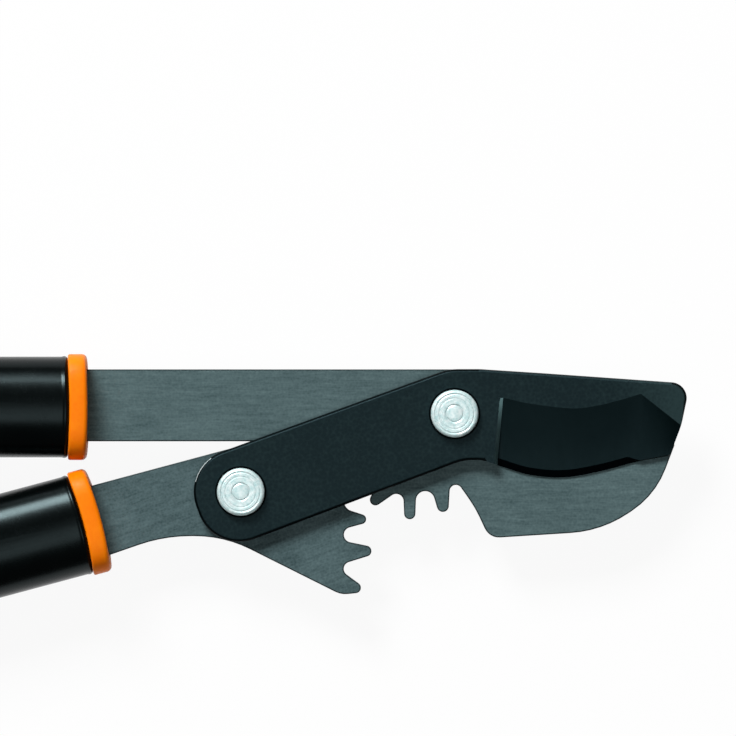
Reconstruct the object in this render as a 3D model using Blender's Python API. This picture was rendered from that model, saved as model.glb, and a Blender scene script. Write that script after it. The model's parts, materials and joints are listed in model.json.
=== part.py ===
# Geared bypass lopper, lying flat with its jaws closed.
# +X runs along the tool towards the head, +Y is the side of the upper handle, +Z is up.
# The head is drawn about the main pivot. The whole tool is then set with the middle of its
# underside on the origin.
# Units are metres and degrees.

import math

import bmesh
import bpy
from mathutils import Vector

# Gaps
RUN_GAP = 0.0003  # between faces that touch or slide on the real tool
MESH_CLEARANCE = 0.0004  # from a tooth tip to the root it runs into

# Head layout
PIVOT_SPACING = 0.0803
PIVOT_SLOPE = 20.1  # the lever pivot lies this far below the -X direction from the main pivot
PLATE_THICKNESS = 0.0050  # hook plate and lever plate, which share one layer
BLADE_THICKNESS = 0.0048

# Tangs, the straight arms that run into the handles
TANG_WIDTH = 0.0254
TANG_DEPTH = 0.0640  # length inside the handle
TANG_END_FILLET = 0.0030
HOOK_REACH = 0.1293  # main pivot to the front of the upper collar
HOOK_TANG_RISE = 0.0029  # middle of the tang above the main pivot
TANG_OUTWARD = 0.0006  # each tang stands this far out from the middle of its handle
LEVER_REACH = 0.0517  # lever pivot to the front of the lower collar
LEVER_TANG_RISE = 0.0030  # middle of the tang beside the lever pivot
LEVER_TANG_SLOPE = 15.0

# Gear teeth. A toothed edge runs like a belt round a circle in each tip and a circle in each gap.
# When the hook plate opens by nine degrees, the lever plate opens by eight.
# Tips: degrees from the line through the pivots, tip radius, radius of the tip's circle.
LEVER_TIPS = (
    (60.1, 0.0547, 0.0019),
    (45.5, 0.0508, 0.0019),
    (33.0, 0.0453, 0.0017),
    (14.7, 0.0447, 0.0017),
    (1.0, 0.0430, 0.0019),
)
HOOK_TIPS = (
    (8.9, 0.0421, 0.0019),
    (27.4, 0.0433, 0.0020),
    (45.8, 0.0407, 0.0020),
    (62.7, 0.0350, 0.0021),
)
# Gaps after these tips: degrees, radius of the gap's circle. Their depth clears the other plate's tip.
LEVER_GAPS = ((55.2, 0.0025), (41.4, 0.0027), (25.1, 0.0034), (8.1, 0.0026))
HOOK_GAPS = ((17.6, 0.0029), (36.3, 0.0026), (51.3, 0.0033), (70.9, 0.0022))
FIRST_HOOK_GAP = 0.0024

# Lever plate, about the lever pivot: each corner has its fillet radius
LEVER_ARCH = ((-0.0272, -0.0157, 0.0560), (-0.0060, -0.0157, 0.0450))
ARM_CORNER = 0.0300  # fillet where the arm leaves the tang's line
LEVER_TOE = (0.0354, -0.0364, 0.0080)
LEVER_SHOULDER = 0.0120  # the flat that meets the hook plate when the tool is closed ends here
SHOULDER_FILLET = 0.0040

# Hook plate, about the main pivot
HEEL_HOLLOW = (0.0073, -0.0333, 0.0400)
HEEL_CORNER = (0.0123, -0.0440, 0.0055)
JAW_BELLY = ((0.0520, -0.0415, 0.0410), (0.0710, -0.0288, 0.0350))
JAW_TIP = (0.0782, -0.0098, 0.0016)
JAW_EDGE = ((0.0680, -0.0128), (0.0560, -0.0158), (0.0400, -0.0176), (0.0270, -0.0162))
JAW_THROAT = (0.0156, -0.0125, 0.0040)
HUB_SIDE = 0.0156
HUB_FILLET = 0.0130

# Cutting blade, about the main pivot
LINK_ABOVE = 0.0148  # upper edge of the link above the line through the pivots
LINK_BELOW = 0.0166
LINK_END = 0.0162  # end of the link beyond the lever pivot
LINK_END_FILLET = 0.0150
BELLY_STEP = ((0.0033, -0.0163, 0.0250), (0.0103, -0.0164, 0.0140))
EDGE_START = (0.0157, -0.0184)
CUTTING_EDGE = ((0.0265, -0.0216), (0.0386, -0.0225), (0.0513, -0.0204), (0.0636, -0.0172))
EDGE_END = (0.0760, -0.0148)
BLADE_FRONT = (0.0796, -0.0040, 0.0300)
BLADE_CORNER = (0.0825, 0.0104, 0.0056)
BLADE_SPINE = ((0.0320, 0.0142, 0.0600), (0.0090, 0.0153, 0.0150), (-0.0021, 0.0153, 0.0180))

# Ground bevel on the front of the blade
GRIND_START = 0.0153  # the slope down into the bevel starts here
GRIND_UPPER = (
    (0.0174, 0.0055),
    (0.0301, 0.0030),
    (0.0414, 0.0019),
    (0.0513, 0.0030),
    (0.0657, 0.0070),
    (0.0785, -0.0034),
    (0.0860, -0.0095),
)
GRIND_LOWER = -0.0236
EDGE_THICKNESS = 0.0010  # steel left at the lower side of the bevel
GRIND_OVERRUN = 0.04  # share of the slope by which the wedge runs past both its sides

# Pivot hardware
SHANK_DIAMETER = 0.0080
BOLT_HEAD_DIAMETER = 0.0171
BOLT_HEAD_HEIGHT = 0.0030
HEAD_RINGS = (0.0133, 0.0104, 0.0064)  # diameters of the rings pressed into the head
HEAD_RING_DEPTH = 0.0004
BUSH_WALL = 0.0016
FRICTION_WASHER_DIAMETER = 0.0220
FRICTION_WASHER_THICKNESS = 0.0008
REAR_WASHER_DIAMETER = 0.0190
REAR_WASHER_THICKNESS = 0.0012
NUT_ACROSS_FLATS = 0.0130
NUT_HEIGHT = 0.0060
NUT_COLLAR_HEIGHT = 0.0013
NUT_COLLAR_DIAMETER = 0.0112
THREAD_BEYOND_NUT = 0.0012

# Handles: sections are rounded rectangles, widths in the plane of the tool
HANDLE_LENGTH = 0.6025  # front of the collar to the end of the cap
HANDLE_STRAIGHT = 0.0900
HANDLE_TAPER_END = 0.3000
HANDLE_BEND = 5.0  # each handle turns inwards by this much behind its straight part
HANDLE_FRONT_WIDTH = 0.0356
HANDLE_FRONT_HEIGHT = 0.0300
HANDLE_REAR_WIDTH = 0.0270
HANDLE_REAR_HEIGHT = 0.0250
HANDLE_WALL = 0.0030
SECTION_ROUNDNESS = 0.86  # corner radius as a share of the smaller half width
LIP_ROUND = 0.0010

# Collars
COLLAR_LENGTH = 0.0064
COLLAR_PROUD = 0.0009  # the collar stands out past the handle on every side
COLLAR_ROUND = 0.0012
SPIGOT_LENGTH = 0.0610

# Tang pins
PIN_DIAMETER = 0.0060
PIN_PROUD = 0.0004
PIN_PLACES = (0.0415, 0.0570)  # behind the front of the collar

# Grips
GRIP_LENGTH = 0.1500
GRIP_WALL = 0.0030  # at the waist of the grip
GRIP_SWELL = 0.0012
GRIP_WAVES = 1.5
GRIP_STEPS = 6
GRIP_RING_LENGTH = 0.0060
CAP_FLANGE = 0.0090
CAP_PLUG = 0.0220
CAP_ROUND = 0.0030

# Facets
ROUND_SIDES = 24
ARC_STEP = 12  # most degrees between the points of a fillet
ARC_LENGTH = 0.0040  # most length between the points of a fillet
CURVE_STEPS = 3  # points for each stretch of a smooth curve
CORNER_STEPS = 4  # sides for each corner of a handle's section
TUBE_STEPS = 4  # rings for the taper of a handle, and for the rest of it
SHARP_ANGLE = 28

COLOURS = {  # colour, metallic, roughness
    "black_coated_steel": ((0.012, 0.018, 0.019), 0.3, 0.42),
    "grey_steel": ((0.085, 0.130, 0.138), 0.9, 0.40),
    "bright_steel": ((0.620, 0.660, 0.660), 1.0, 0.22),
    "bronze": ((0.420, 0.250, 0.090), 1.0, 0.35),
    "nylon": ((0.700, 0.690, 0.640), 0.0, 0.50),
    "black_plastic": ((0.008, 0.009, 0.009), 0.0, 0.25),
    "black_rubber": ((0.014, 0.014, 0.015), 0.0, 0.75),
    "orange_plastic": ((1.000, 0.215, 0.005), 0.0, 0.35),
}

PLATE_BACK = -PLATE_THICKNESS / 2
PLATE_FRONT = PLATE_THICKNESS / 2
BLADE_BACK = PLATE_FRONT + RUN_GAP
BLADE_FACE = BLADE_BACK + BLADE_THICKNESS
COLLAR_HALF_HEIGHT = HANDLE_FRONT_HEIGHT / 2 + COLLAR_PROUD  # the tool rests on this height
TUBE_START = COLLAR_LENGTH + RUN_GAP
TUBE_END = HANDLE_LENGTH - CAP_FLANGE - RUN_GAP
HOOK_TANG_BOTTOM = HOOK_TANG_RISE - TANG_WIDTH / 2
HOOK_TANG_TOP = HOOK_TANG_RISE + TANG_WIDTH / 2


def clear_scene():
    for old in list(bpy.data.objects):
        bpy.data.objects.remove(old)


# Plane geometry

def polar(centre, radius, degrees):
    turn = math.radians(degrees)
    return Vector((centre[0] + radius * math.cos(turn), centre[1] + radius * math.sin(turn)))


def fillet(before, corner, after, radius):
    """Points of the arc that rounds one corner, kept within half of each side."""
    into = before - corner
    out = after - corner
    half = into.angle(out) / 2
    reach = radius / math.tan(half)
    reach = min(reach, 0.49 * into.length, 0.49 * out.length)
    radius = reach * math.tan(half)
    if half > math.radians(89.5):
        return [corner]
    middle = (into.normalized() + out.normalized()).normalized()
    centre = corner + middle * (radius / math.sin(half))
    first = corner + into.normalized() * reach - centre
    last = corner + out.normalized() * reach - centre
    sweep = first.angle_signed(last)  # positive when clockwise
    steps = math.ceil(max(abs(sweep) / math.radians(ARC_STEP), abs(sweep) * radius / ARC_LENGTH))
    start = math.atan2(first.y, first.x)
    turns = [start - sweep * i / steps for i in range(steps + 1)]
    return [centre + Vector((math.cos(turn), math.sin(turn))) * radius for turn in turns]


def rounded(corners):
    """A closed outline from corners (x, y) or (x, y, fillet radius)."""
    places = [Vector(corner[:2]) for corner in corners]
    outline = []
    for i, corner in enumerate(corners):
        if len(corner) < 3:
            outline.append(places[i])
        else:
            outline += fillet(places[i - 1], places[i], places[(i + 1) % len(places)], corner[2])
    return outline


def smooth_through(start, points, end):
    """Points of a smooth curve from start through points to end, both ends left out."""
    knots = [Vector(p) for p in (start, *points, end)]
    first = knots[0] * 2 - knots[1]
    last = knots[-1] * 2 - knots[-2]
    knots = [first, *knots, last]
    curve = []
    for i in range(1, len(knots) - 2):
        a, b, c, d = knots[i - 1:i + 3]
        for step in range(CURVE_STEPS):
            t = step / CURVE_STEPS
            curve.append(
                0.5 * (2 * b + (c - a) * t + (2 * a - 5 * b + 4 * c - d) * t ** 2
                       + (3 * b - a - 3 * c + d) * t ** 3)
            )
    return [tuple(p) for p in curve[1:]]


def circle(radius, z):
    """Ring of ROUND_SIDES points, a number that six divides."""
    turns = [2 * math.pi * i / ROUND_SIDES for i in range(ROUND_SIDES)]
    return [Vector((radius * math.cos(turn), radius * math.sin(turn), z)) for turn in turns]


# Solids

def finish(bm, name, material, parent, location=(0, 0, 0), turn=0.0):
    bmesh.ops.recalc_face_normals(bm, faces=bm.faces)
    mesh = bpy.data.meshes.new(name)
    bm.to_mesh(mesh)
    bm.free()
    mesh.shade_smooth()
    mesh.set_sharp_from_angle(angle=math.radians(SHARP_ANGLE))
    piece = bpy.data.objects.new(name, mesh)
    bpy.context.collection.objects.link(piece)
    piece.parent = parent
    piece.location = location
    piece.rotation_euler = (0, 0, math.radians(turn))
    if material is None:
        piece.hide_render = True
        piece.display_type = "WIRE"
    else:
        mesh.materials.append(material)
    return piece


def add_rings(bm, rings, closed):
    """Skins a row of rings. A closed row is a band with a hole through it, an open one is capped."""
    loops = [[bm.verts.new(p) for p in ring] for ring in rings]
    pairs = list(zip(loops, loops[1:]))
    if closed:
        pairs.append((loops[-1], loops[0]))
    for one, two in pairs:
        for i in range(len(one)):
            j = (i + 1) % len(one)
            bm.faces.new((one[i], one[j], two[j], two[i]))
    if not closed:
        bm.faces.new(loops[0])
        bm.faces.new(loops[-1])


def lofted(rings, name, material, parent, closed=False, location=(0, 0, 0), turn=0.0):
    bm = bmesh.new()
    add_rings(bm, rings, closed)
    return finish(bm, name, material, parent, location, turn)


def plate(outline, low, high, name, material, parent):
    bottom = [Vector((p.x, p.y, low)) for p in outline]
    top = [Vector((p.x, p.y, high)) for p in outline]
    return lofted([bottom, top], name, material, parent)


def turned(profile, name, material, parent, location, closed=False):
    rings = [circle(radius, z) for radius, z in profile]
    return lofted(rings, name, material, parent, closed, location)


def cut(piece, cutter):
    cutting = piece.modifiers.new("cut_" + cutter.name, "BOOLEAN")
    cutting.operation = "DIFFERENCE"
    cutting.solver = "EXACT"
    cutting.object = cutter


def bore(name, radius, low, high, parent, location=(0, 0, 0)):
    return turned([(radius, low), (radius, high)], name, None, parent, location)


# Gear teeth

def opposite_root(tip_radius):
    """Root radius that clears a tooth of this tip radius on the other plate."""
    return PIVOT_SPACING - tip_radius - MESH_CLEARANCE


def tooth_circles(centre, start, turn, tips, gaps, roots):
    """The circle in each tip, then the one in the gap after it. A gap's radius is negative."""
    circles = []
    for i, (angle, tip, radius) in enumerate(tips):
        circles.append((polar(centre, tip - radius, start + turn * angle), radius))
        if i < len(gaps):
            angle, radius = gaps[i]
            circles.append((polar(centre, roots[i] + radius, start + turn * angle), -radius))
    return circles


def belt(circles):
    """Points of a belt that keeps tips on its left and gaps on its right, without its two ends."""
    headings = []
    for (here, near), (there, far) in zip(circles, circles[1:]):
        way = there - here
        headings.append(math.atan2(way.y, way.x) - math.asin((far - near) / way.length))
    points = []
    for (centre, radius), before, after in zip(circles[1:], headings, headings[1:]):
        turn = math.remainder(after - before, 2 * math.pi)
        steps = math.ceil(abs(turn) / math.radians(ARC_STEP))
        for step in range(steps + 1):
            heading = before + turn * step / steps
            points.append(tuple(centre + Vector((math.sin(heading), -math.cos(heading))) * radius))
    return points


def lever_pivot():
    return polar((0, 0), PIVOT_SPACING, 180 + PIVOT_SLOPE)


# Steel plates of the head

def lever_outline():
    pivot = lever_pivot()
    back = polar((0, 0), 1, 180 + LEVER_TANG_SLOPE)
    side = Vector((back.y, -back.x))
    end = pivot + side * LEVER_TANG_RISE + back * (LEVER_REACH + TANG_DEPTH)
    collar = pivot + side * LEVER_TANG_RISE + back * LEVER_REACH
    half = side * (TANG_WIDTH / 2)
    stop = HOOK_TANG_BOTTOM - RUN_GAP
    top_end = end + half
    shoulder_start = top_end + back * ((stop - top_end.y) / back.y)
    corners = [
        (*(end - half), TANG_END_FILLET),
        (*(collar - half), ARM_CORNER),
    ]
    corners += [(pivot.x + x, pivot.y + y, radius) for x, y, radius in (*LEVER_ARCH, LEVER_TOE)]
    roots = [opposite_root(tip) for _, tip, _ in reversed(HOOK_TIPS)]
    toe = pivot + Vector(LEVER_TOE[:2])
    shoulder = Vector((pivot.x + LEVER_SHOULDER, stop))
    teeth = tooth_circles(pivot, PIVOT_SLOPE, -1, LEVER_TIPS, LEVER_GAPS, roots)
    corners += belt([(toe, 0), *teeth, (shoulder, 0)])
    corners += [
        (*shoulder, SHOULDER_FILLET),
        (shoulder_start.x, stop, SHOULDER_FILLET),
        (*top_end, TANG_END_FILLET),
    ]
    return rounded(corners)


def hook_outline():
    tang_end = -(HOOK_REACH + TANG_DEPTH)
    roots = [opposite_root(tip) for _, tip, _ in reversed(LEVER_TIPS)]
    first_x = -math.sqrt(roots[0] ** 2 - HOOK_TANG_BOTTOM ** 2)
    first_gap = (Vector((first_x, HOOK_TANG_BOTTOM - FIRST_HOOK_GAP)), -FIRST_HOOK_GAP)
    start = (Vector((tang_end, HOOK_TANG_BOTTOM)), 0)
    end = (Vector(HEEL_HOLLOW[:2]), 0)
    teeth = tooth_circles((0, 0), 180 + PIVOT_SLOPE, 1, HOOK_TIPS, HOOK_GAPS, roots[1:])
    corners = [(tang_end, HOOK_TANG_BOTTOM, TANG_END_FILLET)]
    corners += belt([start, first_gap, *teeth, end])
    corners += [HEEL_HOLLOW, HEEL_CORNER, *JAW_BELLY, JAW_TIP]
    corners += smooth_through(JAW_TIP[:2], JAW_EDGE, JAW_THROAT[:2])
    corners += [
        JAW_THROAT,
        (HUB_SIDE, HOOK_TANG_TOP, HUB_FILLET),
        (tang_end, HOOK_TANG_TOP, TANG_END_FILLET),
    ]
    return rounded(corners)


def blade_outline():
    pivot = lever_pivot()
    along = polar((0, 0), 1, PIVOT_SLOPE)
    up = Vector((-along.y, along.x))
    end_low = pivot - along * LINK_END - up * LINK_BELOW
    end_high = pivot - along * LINK_END + up * LINK_ABOVE
    corners = [(*end_low, LINK_END_FILLET), *BELLY_STEP, EDGE_START]
    corners += smooth_through(EDGE_START, CUTTING_EDGE, EDGE_END)
    corners += [EDGE_END, BLADE_FRONT, BLADE_CORNER, *BLADE_SPINE, (*end_high, LINK_END_FILLET)]
    return rounded(corners)


def grind_cutter(parent):
    """Wedge that leaves the bevel: it starts at the face along GRIND_UPPER and is deepest low down."""
    deep = BLADE_BACK + EDGE_THICKNESS
    clear = BLADE_FACE + BLADE_THICKNESS
    sections = []
    stations = [(GRIND_START, GRIND_UPPER[0][1], BLADE_FACE + RUN_GAP / 3)]
    stations += [(x, y, deep) for x, y in GRIND_UPPER]
    for x, upper, low in stations:
        fall = BLADE_FACE - low
        y_top = upper + GRIND_OVERRUN * (upper - GRIND_LOWER)
        y_low = GRIND_LOWER - GRIND_OVERRUN * (upper - GRIND_LOWER)
        top = BLADE_FACE + GRIND_OVERRUN * abs(fall)
        bottom = low - GRIND_OVERRUN * fall
        sections.append([
            Vector((x, y_top, top)),
            Vector((x, y_low, bottom)),
            Vector((x, y_low, clear)),
            Vector((x, y_top, clear)),
        ])
    return lofted(sections, "grind_cutter", None, parent)


def head_plates(root, hook_pivot, lever_joint, paint):
    """The plates are drawn about the main pivot. The lever plate hangs on the lever pivot."""
    blade = plate(blade_outline(), BLADE_BACK, BLADE_FACE, "cutting_blade", paint["black_coated_steel"], root)
    cut(blade, grind_cutter(root))
    hook = plate(hook_outline(), PLATE_BACK, PLATE_FRONT, "hook_plate", paint["grey_steel"], hook_pivot)
    pivot = lever_pivot()
    shifted = [p - pivot for p in lever_outline()]
    lever = plate(shifted, PLATE_BACK, PLATE_FRONT, "lever_plate", paint["grey_steel"], lever_joint)
    return blade, hook, lever


# Pivot hardware

def pivot_set(side, place, blade, carried, root, joint, paint):
    """One pivot: ringed bolt, bush, friction washer, rear washer and nut. The bush turns with the plate."""
    shank = SHANK_DIAMETER / 2
    bush_outer = shank + RUN_GAP + BUSH_WALL
    seat = FRICTION_WASHER_THICKNESS + RUN_GAP
    washer_outer = FRICTION_WASHER_DIAMETER / 2
    nut_low = PLATE_BACK - REAR_WASHER_THICKNESS - 2 * RUN_GAP - NUT_HEIGHT
    end = nut_low - THREAD_BEYOND_NUT
    head_low = BLADE_FACE + RUN_GAP
    head_top = head_low + BOLT_HEAD_HEIGHT
    rim = BOLT_HEAD_DIAMETER / 2
    outer_ring, middle_ring, inner_ring = (d / 2 for d in HEAD_RINGS)
    sunk = head_top - HEAD_RING_DEPTH
    bevel = HEAD_RING_DEPTH
    turned(
        [
            (shank - bevel, end), (shank, end + bevel), (shank, head_low),
            (rim, head_low), (rim, head_low + BOLT_HEAD_HEIGHT / 2),
            (rim - bevel, head_top - bevel), (rim - 3 * bevel, head_top),
            (outer_ring + bevel, head_top), (outer_ring, sunk), (middle_ring, sunk),
            (middle_ring - bevel, head_top), (inner_ring + bevel, head_top), (inner_ring, sunk),
        ],
        side + "_pivot_bolt", paint["bright_steel"], root, (*place, 0),
    )
    turned(
        [(shank + RUN_GAP, PLATE_BACK), (bush_outer, PLATE_BACK),
         (bush_outer, PLATE_FRONT - seat), (shank + RUN_GAP, PLATE_FRONT - seat)],
        side + "_pivot_bush", paint["bronze"], joint, (0, 0, 0), closed=True,
    )
    turned(
        [(shank + RUN_GAP, PLATE_FRONT - FRICTION_WASHER_THICKNESS),
         (washer_outer, PLATE_FRONT - FRICTION_WASHER_THICKNESS),
         (washer_outer, PLATE_FRONT), (shank + RUN_GAP, PLATE_FRONT)],
        side + "_friction_washer", paint["nylon"], root, (*place, 0), closed=True,
    )
    washer_top = PLATE_BACK - RUN_GAP
    washer_low = washer_top - REAR_WASHER_THICKNESS
    turned(
        [(shank + RUN_GAP, washer_low), (REAR_WASHER_DIAMETER / 2, washer_low),
         (REAR_WASHER_DIAMETER / 2, washer_top), (shank + RUN_GAP, washer_top)],
        side + "_rear_washer", paint["bright_steel"], root, (*place, 0), closed=True,
    )
    lock_nut(side + "_lock_nut", nut_low, place, root, paint)
    blade_bore = (shank + RUN_GAP, BLADE_BACK - seat, BLADE_FACE + seat)
    bush_bore = (bush_outer + RUN_GAP, 2 * PLATE_BACK, 2 * PLATE_FRONT)
    washer_seat = (washer_outer + RUN_GAP, PLATE_FRONT - seat, 2 * PLATE_FRONT)
    cut(blade, bore(side + "_blade_bore", *blade_bore, root, (*place, 0)))
    cut(carried, bore(side + "_bush_bore", *bush_bore, joint))
    cut(carried, bore(side + "_washer_seat", *washer_seat, joint))


def lock_nut(name, low, place, root, paint):
    """Hexagon with chamfered corners below a round locking collar."""
    flat = NUT_ACROSS_FLATS / 2
    corner = flat / math.cos(math.pi / 6)
    chamfer = corner - flat
    hole = SHANK_DIAMETER / 2 + RUN_GAP
    neck = NUT_COLLAR_DIAMETER / 2
    shoulder = low + NUT_COLLAR_HEIGHT
    high = low + NUT_HEIGHT
    rings = [
        circle(hole, low),
        circle(neck - chamfer / 2, low),
        circle(neck, low + chamfer / 2),
        circle(neck, shoulder),
        hexagon(flat, shoulder, flat),
        hexagon(flat, shoulder + chamfer, corner),
        hexagon(flat, high - chamfer, corner),
        hexagon(flat, high, flat),
        circle(hole, high),
    ]
    return lofted(rings, name, paint["bright_steel"], root, True, (*place, 0))


def hexagon(half_flats, z, most):
    """Ring on a hexagon with its corners cut off at a radius of most."""
    ring = []
    for i in range(ROUND_SIDES):
        turn = 2 * math.pi * i / ROUND_SIDES
        from_flat = (turn + math.pi / 6) % (math.pi / 3) - math.pi / 6
        radius = min(half_flats / math.cos(from_flat), most)
        ring.append(Vector((radius * math.cos(turn), radius * math.sin(turn), z)))
    return ring


# Handles, each in a frame with its origin at the front of the collar and +X along the handle

def section(half_width, half_height):
    """Rounded rectangle, as points (across, height). The flats lie above and below."""
    corner = min(half_width, half_height) * SECTION_ROUNDNESS
    points = []
    for quarter in range(4):
        y_sign = 1 if quarter in (0, 3) else -1
        z_sign = 1 if quarter in (0, 1) else -1
        for step in range(CORNER_STEPS + 1):
            turn = math.radians(90 * (quarter + step / CORNER_STEPS))
            points.append((
                y_sign * (half_width - corner) + corner * math.cos(turn),
                z_sign * (half_height - corner) + corner * math.sin(turn),
            ))
    return points


def axis_at(run, bend):
    """Place and heading of the handle's axis at a distance run from the front of the collar."""
    curved = run - HANDLE_STRAIGHT
    if curved <= 0:
        return Vector((run, 0)), 0.0
    turn = math.radians(HANDLE_BEND) * bend / (HANDLE_LENGTH - HANDLE_STRAIGHT)
    heading = turn * curved
    radius = 1 / turn
    return Vector((HANDLE_STRAIGHT + radius * math.sin(heading), radius * (1 - math.cos(heading)))), heading


def ring_at(run, half_width, half_height, bend):
    centre, heading = axis_at(run, bend)
    across = Vector((-math.sin(heading), math.cos(heading)))
    return [Vector((*(centre + across * y), z)) for y, z in section(half_width, half_height)]


def tube_halves(run):
    """Half width and half height of the handle tube, which tapers smoothly."""
    share = (run - HANDLE_STRAIGHT) / (HANDLE_TAPER_END - HANDLE_STRAIGHT)
    share = min(max(share, 0), 1)
    ease = share * share * (3 - 2 * share)
    width = HANDLE_FRONT_WIDTH + (HANDLE_REAR_WIDTH - HANDLE_FRONT_WIDTH) * ease
    height = HANDLE_FRONT_HEIGHT + (HANDLE_REAR_HEIGHT - HANDLE_FRONT_HEIGHT) * ease
    return width / 2, height / 2


def tube_ring(run, bend, offset=0.0):
    half_width, half_height = tube_halves(run)
    return ring_at(run, half_width + offset, half_height + offset, bend)


def spaced(start, end, steps):
    return [start + (end - start) * i / steps for i in range(steps + 1)]


def handle_tube(side, frame, bend, paint):
    stations = [TUBE_START + LIP_ROUND, *spaced(HANDLE_STRAIGHT, HANDLE_TAPER_END, TUBE_STEPS)]
    stations += spaced(HANDLE_TAPER_END, TUBE_END, TUBE_STEPS)[1:]
    outer = [tube_ring(TUBE_START, bend, -LIP_ROUND)]
    outer += [tube_ring(run, bend) for run in stations]
    inner = [tube_ring(run, bend, -HANDLE_WALL) for run in [TUBE_START, *stations[1:]]]
    return lofted(outer + inner[::-1], side + "_handle", paint["black_plastic"], frame, closed=True)


def collar_piece(side, frame, slot_shift, paint):
    """Flange in front of the tube, with a spigot inside it and a slot for the tang."""
    flange_width = HANDLE_FRONT_WIDTH / 2 + COLLAR_PROUD
    bore_width = HANDLE_FRONT_WIDTH / 2 - HANDLE_WALL - RUN_GAP
    bore_height = HANDLE_FRONT_HEIGHT / 2 - HANDLE_WALL - RUN_GAP
    edge = COLLAR_ROUND
    steps = [
        (0.0, flange_width - edge, COLLAR_HALF_HEIGHT - edge),
        (edge * 0.3, flange_width - edge * 0.3, COLLAR_HALF_HEIGHT - edge * 0.3),
        (edge, flange_width, COLLAR_HALF_HEIGHT),
        (COLLAR_LENGTH - edge / 2, flange_width, COLLAR_HALF_HEIGHT),
        (COLLAR_LENGTH, flange_width - edge / 2, COLLAR_HALF_HEIGHT - edge / 2),
        (COLLAR_LENGTH, bore_width, bore_height),
        (COLLAR_LENGTH + SPIGOT_LENGTH, bore_width, bore_height),
    ]
    rings = [ring_at(run, width, height, 0) for run, width, height in steps]
    collar = lofted(rings, side + "_collar", paint["orange_plastic"], frame)
    half = TANG_WIDTH / 2 + RUN_GAP
    deep = PLATE_THICKNESS / 2 + RUN_GAP
    corners = ((half, deep), (-half, deep), (-half, -deep), (half, -deep))
    slot_end = 2 * COLLAR_LENGTH + SPIGOT_LENGTH
    slot = [[Vector((run, slot_shift + y, z)) for y, z in corners] for run in (-COLLAR_LENGTH, slot_end)]
    cut(collar, lofted(slot, side + "_tang_slot", None, frame))
    return collar


def tang_pins(side, frame, pieces, paint):
    """Pins through the tube, the spigot and the tang, with a hole for each in all three."""
    half = HANDLE_FRONT_HEIGHT / 2 + PIN_PROUD
    radius = PIN_DIAMETER / 2
    bevel = PIN_PROUD
    for number, place in enumerate(PIN_PLACES, 1):
        turned(
            [(radius - bevel, -half), (radius, bevel - half), (radius, half - bevel), (radius - bevel, half)],
            side + "_tang_pin_" + str(number), paint["bright_steel"], frame, (place, 0, 0),
        )
        size = (radius + RUN_GAP, -2 * half, 2 * half)
        hole = bore(side + "_pin_bore_" + str(number), *size, frame, (place, 0, 0))
        for piece in pieces:
            cut(piece, hole)


def grip_sleeve(side, frame, bend, paint):
    """Soft sleeve: its width swells and draws in again, its height is that of the collar."""
    end = TUBE_END
    start = end - GRIP_LENGTH
    waist = HANDLE_REAR_WIDTH / 2 + RUN_GAP + GRIP_WALL
    outer = []
    inner = []
    for i, run in enumerate(spaced(start, end, GRIP_STEPS)):
        wave = 1 - math.cos(2 * math.pi * GRIP_WAVES * i / GRIP_STEPS)
        edge = LIP_ROUND if i in (0, GRIP_STEPS) else 0
        outer.append(ring_at(run, waist + GRIP_SWELL * wave - edge, COLLAR_HALF_HEIGHT - edge, bend))
        inner.append(tube_ring(run, bend, RUN_GAP))
    first = ring_at(start + LIP_ROUND, waist, COLLAR_HALF_HEIGHT, bend)
    last = ring_at(end - LIP_ROUND, waist + 2 * GRIP_SWELL, COLLAR_HALF_HEIGHT, bend)
    outer = [outer[0], first, *outer[1:-1], last, outer[-1]]
    lofted(outer + inner[::-1], side + "_grip", paint["black_rubber"], frame, closed=True)
    return start


def grip_ring(side, frame, bend, grip_start, paint):
    end = grip_start - RUN_GAP
    start = end - GRIP_RING_LENGTH
    wide = RUN_GAP + GRIP_WALL
    tall = COLLAR_HALF_HEIGHT - HANDLE_REAR_HEIGHT / 2 - COLLAR_PROUD / 2
    rings = []
    for run, less in ((start, LIP_ROUND), (start + LIP_ROUND, 0), (end - LIP_ROUND, 0), (end, LIP_ROUND)):
        half_width, half_height = tube_halves(run)
        rings.append(ring_at(run, half_width + wide - less, half_height + tall - less, bend))
    rings += [tube_ring(run, bend, RUN_GAP) for run in (end, start)]
    lofted(rings, side + "_grip_ring", paint["orange_plastic"], frame, closed=True)


def end_cap(side, frame, bend, paint):
    """Flange behind the grip, with a plug in the end of the tube."""
    plug = -HANDLE_WALL - RUN_GAP
    wide = HANDLE_REAR_WIDTH / 2 + RUN_GAP + GRIP_WALL + 2 * GRIP_SWELL
    tall = COLLAR_HALF_HEIGHT - COLLAR_PROUD / 2
    start = TUBE_END + RUN_GAP
    rings = [
        tube_ring(start - CAP_PLUG, bend, plug - LIP_ROUND),
        tube_ring(start - CAP_PLUG + LIP_ROUND, bend, plug),
        tube_ring(start, bend, plug),
        ring_at(start, wide - LIP_ROUND, tall - LIP_ROUND, bend),
        ring_at(start + LIP_ROUND, wide, tall, bend),
        ring_at(HANDLE_LENGTH - CAP_ROUND, wide, tall, bend),
        ring_at(HANDLE_LENGTH - CAP_ROUND * 0.3, wide - CAP_ROUND * 0.3, tall - CAP_ROUND * 0.3, bend),
        ring_at(HANDLE_LENGTH, wide - CAP_ROUND, tall - CAP_ROUND, bend),
    ]
    lofted(rings, side + "_end_cap", paint["black_plastic"], frame)


def handle(side, frame, bend, slot_shift, tang, paint):
    tube = handle_tube(side, frame, bend, paint)
    collar = collar_piece(side, frame, slot_shift, paint)
    tang_pins(side, frame, (tube, collar, tang), paint)
    grip_start = grip_sleeve(side, frame, bend, paint)
    grip_ring(side, frame, bend, grip_start, paint)
    end_cap(side, frame, bend, paint)


# The whole tool

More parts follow.
